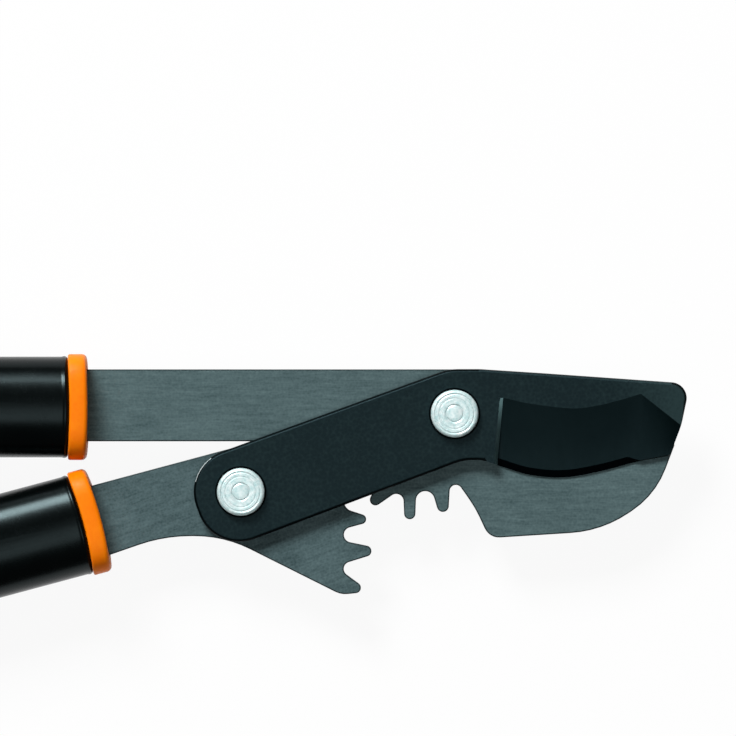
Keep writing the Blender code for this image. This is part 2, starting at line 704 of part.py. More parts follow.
def materials():
    paint = {}
    for name, (colour, metallic, roughness) in COLOURS.items():
        material = bpy.data.materials.new(name)
        material.use_nodes = True
        shader = material.node_tree.nodes["Principled BSDF"]
        shader.inputs["Base Color"].default_value = (*colour, 1)
        shader.inputs["Metallic"].default_value = metallic
        shader.inputs["Roughness"].default_value = roughness
        paint[name] = material
    return paint


def empty(name, parent, location=(0, 0, 0), turn=0.0):
    frame = bpy.data.objects.new(name, None)
    frame.empty_display_size = 0.02
    bpy.context.collection.objects.link(frame)
    frame.parent = parent
    frame.location = location
    frame.rotation_euler = (0, 0, math.radians(turn))
    return frame


def set_on_origin(root):
    """Moves the tool so that the middle of its underside is the origin."""
    bpy.context.view_layer.update()
    corners = []
    for piece in bpy.data.objects:
        if piece.type == "MESH" and not piece.hide_render:
            corners += [piece.matrix_world @ vertex.co for vertex in piece.data.vertices]
    low = Vector([min(corner[i] for corner in corners) for i in range(3)])
    high = Vector([max(corner[i] for corner in corners) for i in range(3)])
    root.location = -Vector(((low.x + high.x) / 2, (low.y + high.y) / 2, low.z))
    bpy.context.view_layer.update()


def build():
    clear_scene()
    paint = materials()
    root = empty("lopper", None)
    pivot = lever_pivot()
    hook_pivot = empty("hook_pivot", root)
    lever_joint = empty("lever_pivot", root, (*pivot, 0))
    blade, hook, lever = head_plates(root, hook_pivot, lever_joint, paint)
    pivot_set("main", (0, 0), blade, hook, root, hook_pivot, paint)
    pivot_set("lever", tuple(pivot), blade, lever, root, lever_joint, paint)
    upper_place = (-HOOK_REACH, HOOK_TANG_RISE - TANG_OUTWARD, 0)
    upper = empty("upper_handle_frame", hook_pivot, upper_place, 180)
    back = polar((0, 0), LEVER_REACH, 180 + LEVER_TANG_SLOPE)
    side = polar((0, 0), LEVER_TANG_RISE + TANG_OUTWARD, 90 + LEVER_TANG_SLOPE)
    lower = empty("lower_handle_frame", lever_joint, (*(back + side), 0), 180 + LEVER_TANG_SLOPE)
    handle("upper", upper, 1, -TANG_OUTWARD, hook, paint)
    handle("lower", lower, -1, TANG_OUTWARD, lever, paint)
    set_on_origin(root)
    for name in ("hook_pivot", "lever_pivot", "upper_handle_frame", "lower_handle_frame"):
        place = bpy.data.objects[name].matrix_world.translation
        print(name, "at", [round(v, 5) for v in place])


build()
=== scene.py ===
# Geared bypass lopper, lying flat with its jaws closed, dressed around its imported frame.
# Lengths in the tables below are millimetres. Head pieces are drawn about the main pivot,
# handle pieces along a straight handle that starts at the front of its collar.

import json
import math
from contextlib import contextmanager

import bmesh
import bpy
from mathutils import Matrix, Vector


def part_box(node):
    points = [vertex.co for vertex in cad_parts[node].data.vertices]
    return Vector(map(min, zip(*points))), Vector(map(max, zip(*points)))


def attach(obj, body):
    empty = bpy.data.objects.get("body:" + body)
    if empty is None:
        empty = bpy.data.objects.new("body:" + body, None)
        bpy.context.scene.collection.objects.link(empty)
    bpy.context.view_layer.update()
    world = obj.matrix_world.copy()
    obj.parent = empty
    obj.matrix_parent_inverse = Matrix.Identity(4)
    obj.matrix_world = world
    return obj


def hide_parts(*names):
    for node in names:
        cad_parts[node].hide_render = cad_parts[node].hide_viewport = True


mm = 0.001
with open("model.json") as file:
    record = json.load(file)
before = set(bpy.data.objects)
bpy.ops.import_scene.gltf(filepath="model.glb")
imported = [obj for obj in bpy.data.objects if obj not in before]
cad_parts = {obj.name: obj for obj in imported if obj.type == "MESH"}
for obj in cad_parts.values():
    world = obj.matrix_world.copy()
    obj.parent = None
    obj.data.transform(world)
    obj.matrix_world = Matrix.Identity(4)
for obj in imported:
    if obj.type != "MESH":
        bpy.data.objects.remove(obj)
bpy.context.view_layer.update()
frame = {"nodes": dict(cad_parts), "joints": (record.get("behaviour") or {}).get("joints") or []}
jointPlaces = {joint["name"]: Vector(joint["pos_m"]) for joint in frame["joints"]}
mainPivot = jointPlaces["main_pivot"]
leverPivot = jointPlaces["lever_pivot"]
print("frame loaded")


# Working in edit mode

def pickOnly(*pieces):
    bpy.ops.object.select_all(action="DESELECT")
    for piece in pieces:
        piece.select_set(True)
    bpy.context.view_layer.objects.active = pieces[0]


@contextmanager
def editing(piece, mode="FACE"):
    pickOnly(piece)
    bpy.ops.object.mode_set(mode="EDIT")
    bpy.ops.mesh.select_mode(type=mode)
    yield
    bpy.ops.object.mode_set(mode="OBJECT")


def selectWhere(piece, kind, test):
    # kind is verts, edges or faces, and test says which of them are wanted
    bm = bmesh.from_edit_mesh(piece.data)
    bpy.ops.mesh.select_all(action="DESELECT")
    for item in getattr(bm, kind):
        if test(item):
            item.select_set(True)
    bmesh.update_edit_mesh(piece.data)


def startPiece(name):
    piece = bpy.context.object
    piece.name = name
    piece.data.name = name
    bpy.ops.object.transform_apply(location=True, rotation=True, scale=True)
    return piece


def applyModifiers(piece):
    pickOnly(piece)
    for modifier in list(piece.modifiers):
        bpy.ops.object.modifier_apply(modifier=modifier.name)


def combine(piece, other, operation="DIFFERENCE", material="INDEX"):
    joining = piece.modifiers.new("joining", "BOOLEAN")
    joining.operation = operation
    joining.solver = "EXACT"
    joining.material_mode = material
    joining.object = other
    applyModifiers(piece)
    bpy.data.objects.remove(other)


def drillHole(piece, place, radius, reach=40.0, sides=64):
    # straight through along Z, with the radius and the reach in millimetres
    bpy.ops.object.select_all(action="DESELECT")
    bpy.ops.mesh.primitive_cylinder_add(
        vertices=sides, radius=radius * mm, depth=2 * reach * mm, location=place
    )
    combine(piece, startPiece("drill"))


def smoothSides(piece, degrees=30):
    pickOnly(piece)
    bpy.ops.object.shade_smooth_by_angle(angle=math.radians(degrees))


def evenNormals(piece):
    # the broad flats keep their own shading right up to their rounded rims
    evening = piece.modifiers.new("evening", "WEIGHTED_NORMAL")
    evening.keep_sharp = True
    evening.weight = 100
    applyModifiers(piece)


def settle(piece, body, slot, material, *nodes):
    # one material on the whole piece, unless the piece already has its own
    if not piece.data.materials:
        piece.data.materials.append(material)
    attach(piece, body)
    if nodes:
        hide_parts(*nodes)


# Outlines, as lists of flat points

def arcCorner(before, corner, after, radius, most=6):
    # the arc that rounds one corner, kept within half of each side, with at most that many degrees a step
    into = before - corner
    out = after - corner
    half = into.angle(out) / 2
    nearlyStraight = math.radians(89.5)
    if half > nearlyStraight:
        return [corner]
    sideShare = 0.49
    reach = min(radius / math.tan(half), sideShare * into.length, sideShare * out.length)
    radius = reach * math.tan(half)
    centre = corner + (into.normalized() + out.normalized()).normalized() * (radius / math.sin(half))
    first = corner + into.normalized() * reach - centre
    last = corner + out.normalized() * reach - centre
    sweep = first.angle_signed(last)
    steps = math.ceil(abs(math.degrees(sweep)) / most)
    start = math.atan2(first.y, first.x)
    turns = [start - sweep * i / steps for i in range(steps + 1)]
    return [centre + Vector((math.cos(turn), math.sin(turn))) * radius for turn in turns]


def roundedOutline(corners):
    # corners are (x, y), or (x, y, fillet radius)
    places = [Vector(corner[:2]) for corner in corners]
    outline = []
    for i, corner in enumerate(corners):
        if len(corner) < 3:
            outline.append(places[i])
        else:
            outline += arcCorner(places[i - 1], places[i], places[(i + 1) % len(places)], corner[2])
    return outline


def curveThrough(points, steps=8):
    # a smooth line through all the points, first and last kept
    knots = [Vector(p) for p in points]
    knots = [knots[0] * 2 - knots[1], *knots, knots[-1] * 2 - knots[-2]]
    curve = []
    for i in range(1, len(knots) - 2):
        a, b, c, d = knots[i - 1:i + 3]
        for step in range(steps):
            t = step / steps
            bend = (2 * a - 5 * b + 4 * c - d) * t ** 2 + (3 * b - a - 3 * c + d) * t ** 3
            curve.append(0.5 * (2 * b + (c - a) * t + bend))
    curve.append(knots[-2])
    return [tuple(p) for p in curve]


def heightAt(line, x):
    # y of a line of points that runs to the right, carried on straight past its ends
    for (x0, y0), (x1, y1) in zip(line, line[1:]):
        if x <= x1:
            break
    return y0 + (y1 - y0) * (x - x0) / (x1 - x0)


def onHead(x, y, z=0.0):
    return mainPivot + Vector((x, y, z)) * mm


# Ways of making a solid

weld = 0.001 * mm
levelSlack = 0.02 * mm
wallTilt = 0.1  # the share of a wall's normal that runs along Z, at most
flatTilt = 0.99  # and of a flat face's, at least
cutterHeight = 10 * mm
rimSteps = 4  # in the rounding of a rim


def drawLine(name, points, closed):
    # one vertex, extruded from point to point
    bpy.ops.object.select_all(action="DESELECT")
    bpy.ops.mesh.primitive_plane_add(size=mm)
    piece = startPiece(name)
    with editing(piece, "VERT"):
        bpy.ops.mesh.select_all(action="SELECT")
        bpy.ops.mesh.merge(type="CENTER")
        bpy.ops.transform.translate(value=points[0])
        for here, there in zip(points, points[1:]):
            bpy.ops.mesh.extrude_vertices_move(TRANSFORM_OT_translate={"value": there - here})
        if closed:
            bpy.ops.mesh.select_all(action="SELECT")
            bpy.ops.mesh.edge_face_add()
    return piece


def extrudePlate(name, outline, low, high):
    points = [Vector((mainPivot.x + p.x * mm, mainPivot.y + p.y * mm, low)) for p in outline]
    piece = drawLine(name, points, closed=True)
    with editing(piece):
        bpy.ops.mesh.select_all(action="SELECT")
        bpy.ops.mesh.extrude_region_move(TRANSFORM_OT_translate={"value": (0, 0, high - low)})
        bpy.ops.mesh.select_all(action="SELECT")
        bpy.ops.mesh.normals_make_consistent(inside=False)
    return piece


def bevelRims(piece, width, level, within=None, segments=3):
    # rounds the edges between the flat face at this level and the upright walls round it
    def onRim(edge):
        tilts = sorted(abs(face.normal.z) for face in edge.link_faces)
        atLevel = all(abs(vert.co.z - level) < levelSlack for vert in edge.verts)
        wanted = within is None or within((edge.verts[0].co + edge.verts[1].co) / 2)
        return tilts[0] < wallTilt and tilts[-1] > flatTilt and atLevel and wanted

    with editing(piece, "EDGE"):
        selectWhere(piece, "edges", onRim)
        bpy.ops.mesh.bevel(offset=width * mm, segments=segments, affect="EDGES", clamp_overlap=False)


def spinProfile(name, profile, place, closed=False, sides=72):
    # profile is (radius, height) in millimetres, turned about the upright line through place
    points = [place + Vector((radius, 0, height)) * mm for radius, height in profile]
    piece = drawLine(name, points, closed=False)
    with editing(piece, "VERT"):
        if closed:
            bpy.ops.mesh.select_all(action="SELECT")
            selectWhere(piece, "verts", lambda vert: len(vert.link_edges) == 1)
            bpy.ops.mesh.edge_face_add()
        bpy.ops.mesh.select_all(action="SELECT")
        bpy.ops.mesh.spin(steps=sides, angle=2 * math.pi, center=place, axis=(0, 0, 1))
        bpy.ops.mesh.select_all(action="SELECT")
        bpy.ops.mesh.remove_doubles(threshold=weld)
        bpy.ops.mesh.normals_make_consistent(inside=False)
    smoothSides(piece)
    return piece


def sweepSection(name, stations, through=False, corner=0.98, fullness=0.55, cornerSteps=14):
    # a rounded section drawn along +X. A station is (run, half width, half height) in millimetres.
    # corner is the share of each half that the corners take, and fullness is 0.5 where they are elliptic.
    run, wide, tall = (size * mm for size in stations[0])
    bpy.ops.object.select_all(action="DESELECT")
    bpy.ops.mesh.primitive_plane_add(size=2, location=(run, 0, 0), rotation=(0, math.pi / 2, 0))
    piece = startPiece(name)
    with editing(piece, "VERT"):
        bpy.ops.mesh.select_all(action="SELECT")
        bpy.ops.mesh.bevel(offset=corner, segments=cornerSteps, profile=fullness, affect="VERTICES")
        bpy.ops.mesh.select_all(action="SELECT")
        bpy.ops.transform.resize(value=(1, wide, tall), center_override=(run, 0, 0))
        for station in stations[1:]:
            nextRun, nextWide, nextTall = (size * mm for size in station)
            bpy.ops.mesh.extrude_region_move(TRANSFORM_OT_translate={"value": (nextRun - run, 0, 0)})
            bpy.ops.transform.resize(
                value=(1, nextWide / wide, nextTall / tall), center_override=(nextRun, 0, 0)
            )
            run, wide, tall = nextRun, nextWide, nextTall
        if through:
            joinEnds(piece)
        bpy.ops.mesh.select_all(action="SELECT")
        bpy.ops.mesh.normals_make_consistent(inside=False)
    smoothSides(piece)
    return piece


def joinEnds(piece):
    # takes the two end faces out and bridges their rims, which leaves a bore
    most = max(len(face.verts) for face in bmesh.from_edit_mesh(piece.data).faces)
    bpy.ops.mesh.select_mode(type="FACE")
    selectWhere(piece, "faces", lambda face: len(face.verts) == most)
    bpy.ops.mesh.delete(type="FACE")
    bpy.ops.mesh.select_mode(type="EDGE")
    selectWhere(piece, "edges", lambda edge: edge.is_boundary)
    bpy.ops.mesh.bridge_edge_loops()


def spaced(start, end, steps):
    return [start + (end - start) * i / steps for i in range(steps + 1)]


def roundedStations(start, end, halves, before, after):
    # a straight stretch of section, its two rims rounded by these radii
    turns = spaced(0, math.pi / 2, rimSteps)
    front = [(start + before * (1 - math.cos(turn)), before * (1 - math.sin(turn))) for turn in turns]
    back = [(end - after * (1 - math.cos(turn)), after * (1 - math.sin(turn))) for turn in turns[::-1]]
    return [(run, halves[0] - less, halves[1] - less) for run, less in front + back]


# Effects that several finishes share, as node groups on Object coordinates

def addNode(tree, kind, inputs=None, **settings):
    # an input is a plain value, or the output socket that feeds it
    node = tree.nodes.new("ShaderNode" + kind)
    for label, value in settings.items():
        setattr(node, label, value)
    for label, value in (inputs or {}).items():
        if isinstance(value, bpy.types.NodeSocket):
            tree.links.new(value, node.inputs[label])
        else:
            node.inputs[label].default_value = value
    return node


def newGroup(name, **inputs):
    # number inputs, and one number output called Amount
    group = bpy.data.node_groups.new(name, "ShaderNodeTree")
    for label, value in inputs.items():
        socket = group.interface.new_socket(label, in_out="INPUT", socket_type="NodeSocketFloat")
        socket.default_value = value
    group.interface.new_socket("Amount", in_out="OUTPUT", socket_type="NodeSocketFloat")
    given = group.nodes.new("NodeGroupInput").outputs
    place = addNode(group, "TexCoord").outputs["Object"]
    return group, given, place


def finishGroup(group, amount):
    result = group.nodes.new("NodeGroupOutput")
    group.links.new(amount, result.inputs["Amount"])
    return group


def noiseOf(group, place, size, detail):
    # size is in millimetres
    scale = addNode(group, "Math", {0: 1 / mm, 1: size}, operation="DIVIDE").outputs[0]
    return addNode(group, "TexNoise", {"Vector": place, "Scale": scale, "Detail": detail}).outputs["Fac"]


def makeBrushLines():
    # fine lines along X, turned by Turn: Width across them, and Stretch times that along them.
    # Broader lines, about three times as wide, count for nearly half.
    group, given, place = newGroup("brushLines", Turn=0.0, Width=0.7, Stretch=25.0)
    turned = addNode(group, "VectorRotate", {"Vector": place, "Angle": given["Turn"]}, rotation_type="Z_AXIS")
    parts = addNode(group, "SeparateXYZ", {"Vector": turned.outputs["Vector"]}).outputs
    slow = addNode(group, "Math", {0: parts["X"], 1: given["Stretch"]}, operation="DIVIDE").outputs[0]
    drawn = addNode(group, "CombineXYZ", {"X": slow, "Y": parts["Y"], "Z": parts["Z"]}).outputs["Vector"]
    wide = addNode(group, "Math", {0: given["Width"], 1: 3.1}, operation="MULTIPLY").outputs[0]
    fine = noiseOf(group, drawn, given["Width"], 3.0)
    broad = noiseOf(group, drawn, wide, 1.0)
    both = addNode(group, "Math", {0: broad, 1: 0.45, 2: 0.0}, operation="MULTIPLY_ADD").outputs[0]
    both = addNode(group, "Math", {0: fine, 1: 0.55, 2: both}, operation="MULTIPLY_ADD").outputs[0]
    return finishGroup(group, both)


def makeSoftPatches():
    group, given, place = newGroup("softPatches", Size=20.0)
    return finishGroup(group, noiseOf(group, place, given["Size"], 2.0))


def makeFineGrain():
    # small round grains, for sprayed, blasted or moulded surfaces
    group, given, place = newGroup("fineGrain", Size=0.4)
    scale = addNode(group, "Math", {0: 1 / mm, 1: given["Size"]}, operation="DIVIDE").outputs[0]
    cells = addNode(group, "TexVoronoi", {"Vector": place, "Scale": scale}).outputs["Distance"]
    noise = noiseOf(group, place, given["Size"], 3.0)
    half = addNode(group, "Math", {0: cells, 1: 0.5, 2: 0.0}, operation="MULTIPLY_ADD").outputs[0]
    both = addNode(group, "Math", {0: noise, 1: 0.5, 2: half}, operation="MULTIPLY_ADD").outputs[0]
    return finishGroup(group, both)


def makeRiseAlongX():
    # rises from 0 to 1 between two places along X, in metres
    group, given, place = newGroup("endWear", Start=0.0, End=1.0)
    along = addNode(group, "SeparateXYZ", {"Vector": place}).outputs["X"]
    spread = {"Value": along, "From Min": given["Start"], "From Max": given["End"]}
    return finishGroup(group, addNode(group, "MapRange", spread).outputs["Result"])


brushLines = makeBrushLines()
softPatches = makeSoftPatches()
fineGrain = makeFineGrain()
endWear = makeRiseAlongX()


# Finishes

def seen(red, green, blue):
    # a colour as the eye sees it, each part from 0 to 255, in the shader's own scale
    parts = [part / 255 for part in (red, green, blue)]
    return (*(p / 12.92 if p <= 0.04045 else ((p + 0.055) / 1.055) ** 2.4 for p in parts), 1.0)


def sumEffects(tree, wanted):
    # wanted is a list of (group, share, the group's values)
    total = 0.0
    for group, share, values in wanted:
        node = tree.nodes.new("ShaderNodeGroup")
        node.node_tree = group
        for label, value in values.items():
            node.inputs[label].default_value = value
        inputs = {0: node.outputs["Amount"], 1: share, 2: total}
        total = addNode(tree, "Math", inputs, operation="MULTIPLY_ADD").outputs[0]
    return total


noiseSpan = (0.3, 0.7)  # nearly all of a summed effect lies between these


def newFinish(name, colours, shade, roughness, grain, lift, **fixed):
    # shade moves the colour between two ends, grain moves the roughness and lifts the surface by lift mm
    finish = bpy.data.materials.new(name)
    finish.use_nodes = True
    tree = finish.node_tree
    shader = tree.nodes["Principled BSDF"]
    shader.inputs["Metallic"].default_value = fixed.get("metallic", 0.0)
    shader.inputs["Specular IOR Level"].default_value = fixed.get("specular", 0.5)
    shader.inputs["Specular Tint"].default_value = fixed.get("tint", (1, 1, 1, 1))
    ramp = addNode(tree, "ValToRGB", {"Fac": sumEffects(tree, shade)})
    for stop, place, colour in zip(ramp.color_ramp.elements, noiseSpan, colours):
        stop.position = place
        stop.color = colour
    tree.links.new(ramp.outputs["Color"], shader.inputs["Base Color"])
    amount = sumEffects(tree, grain)
    low, high = roughness
    least, most = noiseSpan
    spread = {"Value": amount, "From Min": least, "From Max": most, "To Min": low, "To Max": high}
    tree.links.new(addNode(tree, "MapRange", spread).outputs["Result"], shader.inputs["Roughness"])
    bump = addNode(tree, "Bump", {"Height": amount, "Distance": lift * mm})
    tree.links.new(bump.outputs["Normal"], shader.inputs["Normal"])
    return finish


oxideTint = (0.50, 0.88, 1.0, 1.0)  # what the black coatings throw back is slightly blue-green
tipLighter = {"Start": mainPivot.x + 56 * mm, "End": mainPivot.x + 80 * mm}
# the coating is lighter towards the tip
blackCoat = newFinish(
    "blackCoat", (seen(3, 11, 13), seen(29, 43, 43)),
    [(softPatches, 0.2, {"Size": 24}), (fineGrain, 0.48, {"Size": 1.2}), (endWear, 0.4, tipLighter)],
    (0.40, 0.50), [(fineGrain, 1.0, {"Size": 0.5})], 0.010, specular=0.3, tint=oxideTint,
)
# painted shade: the same black coating made near black, for rims and walls that fall in shade
rimCoat = newFinish(
    "rimCoat", (seen(1, 4, 5), seen(3, 8, 9)), [(softPatches, 1.0, {"Size": 5})],
    (0.50, 0.60), [(fineGrain, 1.0, {"Size": 0.5})], 0.010, specular=0.06, tint=oxideTint,
)
rampCoat = newFinish(
    "rampCoat", (seen(84, 112, 114), seen(102, 132, 134)), [(softPatches, 1.0, {"Size": 6})],
    (0.38, 0.48), [(brushLines, 1.0, {"Turn": 0.0, "Width": 0.3})], 0.010, specular=0.3, tint=oxideTint,
)
# the black coating on the hollow grind, darkened by painted shade where the bevel tilts away from the light
groundCoat = newFinish(
    "groundCoat", (seen(1, 8, 9), seen(4, 13, 14)), [(softPatches, 1.0, {"Size": 12})],
    (0.32, 0.42), [(brushLines, 1.0, {"Turn": math.pi / 2, "Width": 0.35})], 0.006,
    specular=0.15, tint=oxideTint,
)
# the honed band's steep bevel is real, its near-black colour is painted shade
honedCoat = newFinish(
    "honedCoat", (seen(0, 1, 3), seen(2, 4, 6)), [(brushLines, 1.0, {"Turn": math.pi / 2, "Width": 0.3})],
    (0.30, 0.40), [(brushLines, 1.0, {"Turn": math.pi / 2, "Width": 0.3})], 0.004,
    specular=0.05, tint=oxideTint,
)
# painted highlight: a bright steel colour for the glint on the link's end
wornSteel = newFinish(
    "wornSteel", (seen(190, 206, 208), seen(230, 242, 243)), [(softPatches, 1.0, {"Size": 2})],
    (0.34, 0.46), [(fineGrain, 1.0, {"Size": 0.4})], 0.004, metallic=0.5,
)
barSteel = newFinish(
    "barSteel", (seen(54, 76, 79), seen(99, 122, 124)),
    [(brushLines, 0.50, {"Width": 0.5, "Stretch": 8}), (fineGrain, 0.30, {"Size": 0.9}),
     (softPatches, 0.20, {"Size": 26})],
    (0.44, 0.60), [(brushLines, 1.0, {"Width": 0.5, "Stretch": 12})], 0.020, metallic=0.35, specular=0.3,
)
leverSteel = newFinish(
    "leverSteel", (seen(40, 62, 65), seen(96, 119, 122)),
    [(brushLines, 0.45, {"Turn": -0.35, "Width": 0.6, "Stretch": 6}), (fineGrain, 0.30, {"Size": 0.9}),
     (softPatches, 0.25, {"Size": 24})],
    (0.46, 0.60), [(fineGrain, 0.6, {"Size": 0.5}), (brushLines, 0.4, {"Turn": -0.35, "Width": 0.4})],
    0.020, metallic=0.35, specular=0.3,
)
# painted shade: the plates' steel made darker, for their rims and walls
rimSteel = newFinish(
    "rimSteel", (seen(34, 48, 50), seen(50, 66, 68)), [(softPatches, 1.0, {"Size": 4})],
    (0.50, 0.62), [(fineGrain, 1.0, {"Size": 0.5})], 0.015, metallic=0.35, specular=0.2,
)
boltSteel = newFinish(
    "boltSteel", (seen(186, 224, 225), seen(243, 255, 255)),
    [(softPatches, 0.5, {"Size": 2.4}), (fineGrain, 0.5, {"Size": 1.0})],
    (0.30, 0.44), [(softPatches, 0.6, {"Size": 1.6}), (fineGrain, 0.4, {"Size": 0.7})], 0.080, metallic=0.3,
)
nutSteel = newFinish(
    "nutSteel", (seen(150, 156, 150), seen(186, 190, 180)), [(softPatches, 1.0, {"Size": 5})],
    (0.28, 0.42), [(fineGrain, 1.0, {"Size": 0.4})], 0.008, metallic=1.0,
)
bushBronze = newFinish(
    "bushBronze", (seen(150, 104, 52), seen(182, 134, 72)), [(softPatches, 1.0, {"Size": 4})],
    (0.32, 0.46), [(fineGrain, 1.0, {"Size": 0.5})], 0.015, metallic=1.0,
)
washerNylon = newFinish(
    "washerNylon", (seen(206, 204, 192), seen(224, 222, 212)), [(softPatches, 1.0, {"Size": 6})],
    (0.45, 0.60), [(fineGrain, 1.0, {"Size": 0.6})], 0.010,
)
handlePlastic = newFinish(
    "handlePlastic", (seen(1, 2, 2), seen(3, 5, 5)), [(softPatches, 1.0, {"Size": 25})],
    (0.23, 0.28), [(fineGrain, 0.6, {"Size": 1.0}), (softPatches, 0.4, {"Size": 8})], 0.006,
    specular=0.20, tint=(0.70, 0.96, 1.0, 1.0),
)
gripRubber = newFinish(
    "gripRubber", (seen(16, 17, 18), seen(26, 27, 28)),
    [(softPatches, 0.6, {"Size": 18}), (fineGrain, 0.4, {"Size": 0.9})],
    (0.62, 0.80), [(fineGrain, 1.0, {"Size": 0.7})], 0.060, specular=0.3,
)
orangePlastic = newFinish(
    "orangePlastic", (seen(252, 120, 0), seen(255, 134, 4)),
    [(softPatches, 0.6, {"Size": 6}), (fineGrain, 0.4, {"Size": 1.5})],
    (0.38, 0.50), [(fineGrain, 1.0, {"Size": 0.8})], 0.012, specular=0.12,
)
print("finishes made")


# Cutting blade: one plate that carries both pivots and ends in the ground blade

blade = {
    "back": 2.8,  # above the middle of the grey plates
    "thickness": 4.8,
    "linkEnd": 16.5,  # past the lever pivot
    "linkAbove": 15.65,
    "linkBelow": 17.4,
    "linkFillet": 15.0,
    "bellyStep": ((3.3, -16.3, 25.0), (10.3, -16.4, 14.0)),
    "cuttingEdge": ((15.7, -18.4), (26.5, -21.6), (38.6, -22.5), (51.3, -20.4), (63.6, -17.2), (76.0, -14.8)),
    "front": (80.0, -4.0, 30.0),
    "corner": (83.1, 10.6, 5.6),
    "spine": ((32.0, 14.2, 60.0), (9.0, 15.7, 15.0), (-2.1, 15.7, 18.0)),
    "rim": 1.2,  # rounding of the front edges
    "rimEnd": 11.8,  # on the belly it stops here, short of the plunge
    "rimAbove": 2.5,  # at the tip it stops this far above the end of the grind
    "backRim": 0.4,
    "paintedTilt": 0.9,  # a face whose normal runs less than this along Z gets the painted rim shade
    "spineKept": (5.0, 62.0),  # the spine's rim keeps the face's coating, without painted shade, between these
    "spineTilt": 0.3,  # and only where the normal runs more than this along Z
    "boltHole": 4.3,
    "seat": 9.1,  # radius of the recess round a bolt's head, painted near black as shade
    "seatDepth": 0.4,
    "glintArc": (133, 168),  # a painted highlight on the rim of the link's end, between these degrees
    "glintTilt": (0.4, 0.7),  # and only where the normal runs this much along Z
}
grind = {
    "rampStart": 14.0,  # the plunge from the face runs from here
    "rampLength": 1.3,
    "slant": 1.9,  # the plunge leans this far to the right at its top
    "upperLine": (
        (10.0, 5.6), (17.2, 5.5), (23.8, 4.0), (30.1, 3.0), (38.6, 2.0), (44.2, 1.9),
        (51.3, 3.0), (56.2, 4.2), (61.2, 5.6), (65.7, 7.0),
    ),
    "diagonalEnd": (80.2, -4.4),
    "depth": 3.3,  # of the hollow grind, at the top of the honed band
    "hollow": 1.25,
    "bandWidth": 2.6,  # honed band along the cutting edge
    "bandEnd": (61.0, 66.0),  # where it narrows away
    "bandLeast": 0.12,  # share of its width that stays beyond there
    "edgeLeft": 0.35,  # steel left at the very edge
    "overrun": 1.5,  # how far the cutter reaches past the edge
    "overcut": 1.3,  # the band's slope is carried on past the edge, to this share of its width
    "lead": 0.2,  # the cutter starts this far short of the plunge
    "beyond": 3.0,  # and ends this far past the blade's corner
    "columns": 150,
    "rows": 14,
}


def bladeOutline():
    pivot = (leverPivot - mainPivot).to_2d() / mm
    along = -pivot.normalized()
    up = Vector((-along.y, along.x))
    endLow = pivot - along * blade["linkEnd"] - up * blade["linkBelow"]
    endHigh = pivot - along * blade["linkEnd"] + up * blade["linkAbove"]
    corners = [(*endLow, blade["linkFillet"]), *blade["bellyStep"]]
    corners += curveThrough(blade["cuttingEdge"])
    corners += [blade["front"], blade["corner"], *blade["spine"], (*endHigh, blade["linkFillet"])]
    return roundedOutline(corners)


edgeLine = curveThrough(blade["cuttingEdge"])
grindLine = [*curveThrough(grind["upperLine"]), grind["diagonalEnd"]]


def grindPoint(along, across):
    # one point of the ground surface, from its shares along and across. Row 0 lies past the edge,
    # row 1 on it, row 2 above the honed band, and the last row but one on the upper line.
    start = grind["rampStart"] - grind["lead"]
    end = blade["corner"][0] + grind["beyond"]
    row = across * grind["rows"]
    rise = max((row - 2) / (grind["rows"] - 3), 0)  # 0 above the band, 1 on the upper line
    lean = grind["slant"] * min(rise, 1)
    x = start + (end - start) * along + lean * (1 - along)
    edgeY = heightAt(edgeLine, min(max(x, edgeLine[0][0]), edgeLine[-1][0]))
    narrow, gone = grind["bandEnd"]
    band = grind["bandWidth"] * min(max((gone - x) / (gone - narrow), grind["bandLeast"]), 1)
    bandY = edgeY + band
    if row < 1.5:
        below = band + (grind["overrun"] if row < 0.5 else 0)
        y = bandY - below
        most = blade["thickness"] - grind["edgeLeft"]
        depth = grind["depth"] + (most - grind["depth"]) * min(below / band, grind["overcut"])
    else:
        y = bandY + (heightAt(grindLine, x) - bandY) * rise
        depth = grind["depth"] * (1 - rise ** grind["hollow"])
    ramp = min((x - lean - grind["rampStart"]) / grind["rampLength"], 1)
    # where both are negative, the point still lies above the face
    sink = depth * ramp if max(depth, ramp) > 0 else -depth * ramp
    return onHead(x, y, blade["back"] + blade["thickness"] - sink)


def makeGrindCutter():
    # its underside is the ground surface. The slots stand for the bevel and the honed band, both darkened by
    # painted shade, and the plunge.
    columns, rows = grind["columns"], grind["rows"]
    bpy.ops.object.select_all(action="DESELECT")
    bpy.ops.mesh.primitive_grid_add(
        x_subdivisions=columns, y_subdivisions=rows, size=1, location=(0.5, 0.5, 0)
    )
    cutter = startPiece("grind_cutter")
    for finish in (groundCoat, honedCoat, rampCoat):
        cutter.data.materials.append(finish)
    for face in cutter.data.polygons:
        x = grindPoint(face.center.x, 0)[0] - mainPivot.x
        onPlunge = x < (grind["rampStart"] + grind["rampLength"]) * mm
        face.material_index = 2 if onPlunge else 1 if face.center.y * rows < 2 else 0
    for vert in cutter.data.vertices:
        vert.co = grindPoint(vert.co.x, vert.co.y)
    with editing(cutter):
        bpy.ops.mesh.select_all(action="SELECT")
        bpy.ops.mesh.extrude_region_move(TRANSFORM_OT_translate={"value": (0, 0, cutterHeight)})
        bpy.ops.mesh.select_all(action="SELECT")
        bpy.ops.mesh.normals_make_consistent(inside=False)
    return cutter


